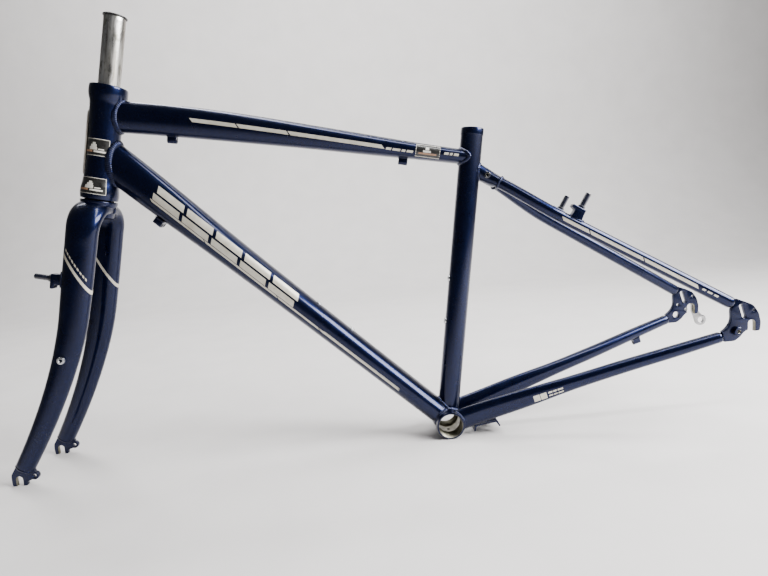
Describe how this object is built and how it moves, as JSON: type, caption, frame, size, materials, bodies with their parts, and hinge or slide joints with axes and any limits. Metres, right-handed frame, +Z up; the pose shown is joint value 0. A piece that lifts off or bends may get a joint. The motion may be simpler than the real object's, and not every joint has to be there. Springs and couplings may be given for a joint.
{
  "type": "bicycle frame",
  "caption": "Diamond bicycle frame with a curved rigid fork that steers in its head tube, rear dropouts with a derailleur hanger, rim brake posts and cable stops.",
  "frame": {"origin": "on the floor, under the middle of the object's box, which stands on the fork tips and the bottom bracket shell", "axes": "+X to the rear of the bicycle, +Y to its drive side (right), +Z up"},
  "size_m": [1.0808, 0.159, 0.6392],
  "materials": {
    "navy_paint": "deep metallic navy under clear coat",
    "black_paint": "satin black",
    "black_plastic": "matte moulded",
    "satin_aluminium": "satin",
    "bare_steel": "drawn, lightly stained",
    "silver_trim": "bright satin"
  },
  "bodies": {
    "frame": {"head_tube": "navy_paint", "head_badge": "silver_trim", "top_tube": "navy_paint", "down_tube": "navy_paint", "bottle_boss_down_upper": "silver_trim", "bottle_boss_down_lower": "silver_trim", "seat_tube": "navy_paint", "bottle_boss_seat_lower": "silver_trim", "bottle_boss_seat_upper": "silver_trim", "bottom_bracket_shell": "navy_paint", "chain_stay_left": "navy_paint", "chain_stay_right": "navy_paint", "seat_stay_yoke": "navy_paint", "seat_stay_left": "navy_paint", "seat_stay_right": "navy_paint", "rack_boss_left": "black_paint", "rack_boss_right": "black_paint", "dropout_left": "black_paint", "dropout_right": "black_paint", "eyelet_left": "black_paint", "derailleur_hanger": "satin_aluminium", "hanger_bolt": "silver_trim", "kickstand_plate": "black_paint", "rear_brake_boss_left": "black_paint", "rear_brake_boss_right": "black_paint", "rear_brake_post_left": "black_paint", "rear_brake_post_right": "black_paint", "cable_stop_top_front": "black_paint", "cable_stop_top_rear": "black_paint", "cable_stop_down": "black_paint", "cable_stop_chain_stay": "black_paint", "lower_bearing": "bare_steel", "upper_bearing": "bare_steel"},
    "fork": {"steerer_tube": "bare_steel", "fork_crown": "navy_paint", "crown_race": "bare_steel", "compression_ring": "bare_steel", "fork_blade_left": "navy_paint", "fork_blade_right": "navy_paint", "fork_tip_left": "black_paint", "fork_tip_right": "black_paint", "front_brake_boss_left": "black_paint", "front_brake_boss_right": "black_paint", "front_brake_post_left": "black_paint", "front_brake_post_right": "black_paint", "fork_rack_boss_left": "silver_trim", "fork_rack_boss_right": "silver_trim"},
    "plug": {"steerer_plug": "black_plastic"}
  },
  "joints": [
    {"name": "steering", "type": "hinge", "parent": "frame", "child": "fork", "pos_m": [-0.38978, 0, 0.39083], "axis": [0.2256, 0, 0.9742], "continuous": true},
    {"name": "plug_pull", "type": "slide", "parent": "fork", "child": "plug", "axis": [0.2256, 0, 0.9742], "range_m": [0, 0.025]}
  ]
}
